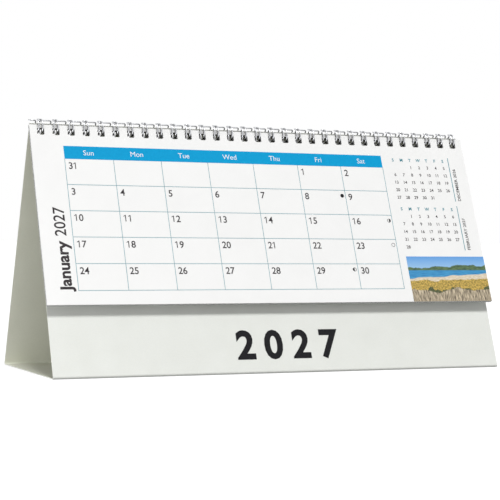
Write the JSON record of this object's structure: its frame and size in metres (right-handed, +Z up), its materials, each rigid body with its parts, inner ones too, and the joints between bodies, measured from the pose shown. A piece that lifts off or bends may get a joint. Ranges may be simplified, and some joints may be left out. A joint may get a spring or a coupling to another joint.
{
  "type": "desk calendar",
  "caption": "Landscape desk calendar: printed month leaves bound by a twin-loop wire along the crest of a folded card tent stand.",
  "frame": {"origin": "on the floor under the middle of the tent stand: the bottom centre of the bounding box", "axes": "+X along the binding towards the right end of the leaves, +Y from the front of the leaves to the back of the stand, +Z up"},
  "size_m": [0.2662, 0.0988, 0.1363],
  "materials": {
    "stand_card": "matte",
    "leaf_paper": "satin",
    "binding_wire": "satin"
  },
  "bodies": {
    "root": {"stand": "stand_card", "leaves": "leaf_paper", "wire_binding": "binding_wire"}
  },
  "joints": []
}
